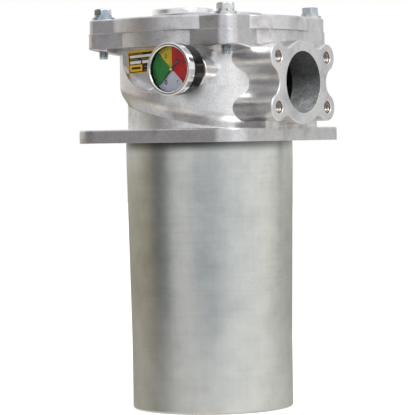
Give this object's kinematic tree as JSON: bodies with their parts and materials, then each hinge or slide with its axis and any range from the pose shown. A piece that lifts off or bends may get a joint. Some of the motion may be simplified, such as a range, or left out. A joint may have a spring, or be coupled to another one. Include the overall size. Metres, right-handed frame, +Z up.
{
  "type": "tank top return filter",
  "caption": "Tank top return line filter: cast head with a flanged inlet port, a bolted cover and a dial gauge, above a long steel bowl that hangs in the tank.",
  "frame": {"origin": "centre of the tank flange, on its underside, at the middle of its four bolt holes", "axes": "+Z up out of the tank along the axis of the bowl, +X out of the inlet port, gauge towards -Y"},
  "size_m": [0.223, 0.237, 0.4146],
  "materials": {
    "cast_aluminium": "as cast and shot blasted, machined joint faces",
    "seal_rubber": "moulded",
    "zinc_plated_steel": "bright zinc plate",
    "zinc_plated_sheet": "drawn sheet, zinc plated",
    "printed_plate": "printed fields of colour, no lettering",
    "tinned_steel": "tinned sheet",
    "filter_paper": "pleated",
    "spring_steel": "drawn wire",
    "turned_steel": "turned",
    "seal_washer": "pressed ring",
    "brass": "turned",
    "chromed_steel": "chrome plated, polished",
    "black_enamel": "glossy black enamel on pressed steel",
    "dial_paint": "painted fields",
    "black_ring": "moulded",
    "window_glass": "clear",
    "pointer_black": "black paint"
  },
  "bodies": {
    "housing": {"bowl": "zinc_plated_sheet", "bowl_seal": "seal_rubber", "bypass_cage": "turned_steel", "bypass_seat": "turned_steel", "bypass_spring": "spring_steel", "cover": "cast_aluminium", "cover_bolts": "zinc_plated_steel", "cover_seal": "seal_rubber", "cover_washers": "zinc_plated_steel", "element_bottom_cap": "tinned_steel", "element_core": "tinned_steel", "element_pleats": "filter_paper", "element_seal": "seal_rubber", "element_top_cap": "tinned_steel", "filter_head": "cast_aluminium", "gauge_bezel": "chromed_steel", "gauge_case": "black_enamel", "gauge_dial": "dial_paint", "gauge_movement": "brass", "gauge_seal": "seal_washer", "gauge_spacer": "black_ring", "gauge_stem": "brass", "gauge_window": "window_glass", "hold_down_spring": "spring_steel", "port_plug": "zinc_plated_steel", "port_plug_seal": "seal_washer", "rating_plate": "printed_plate", "spring_washers": "zinc_plated_steel", "tank_seal": "seal_rubber"},
    "pointer": {"gauge_pointer": "pointer_black", "pointer_spindle": "brass"},
    "bypass_valve": {"bypass_poppet": "turned_steel"}
  },
  "joints": [
    {"name": "pointer_turn", "type": "hinge", "parent": "housing", "child": "pointer", "pos_m": [0.0455, -0.126, 0.0722], "axis": [0, 1, 0], "range_deg": [0, 270], "stiffness_Nm_per_rad": 0.0002, "springref_deg": -20.05},
    {"name": "bypass_lift", "type": "slide", "parent": "housing", "child": "bypass_valve", "axis": [0, 0, -1], "range_m": [0, 0.008], "stiffness_N_per_m": 4000, "springref_m": -0.012, "deforming": ["bypass_spring"]}
  ]
}
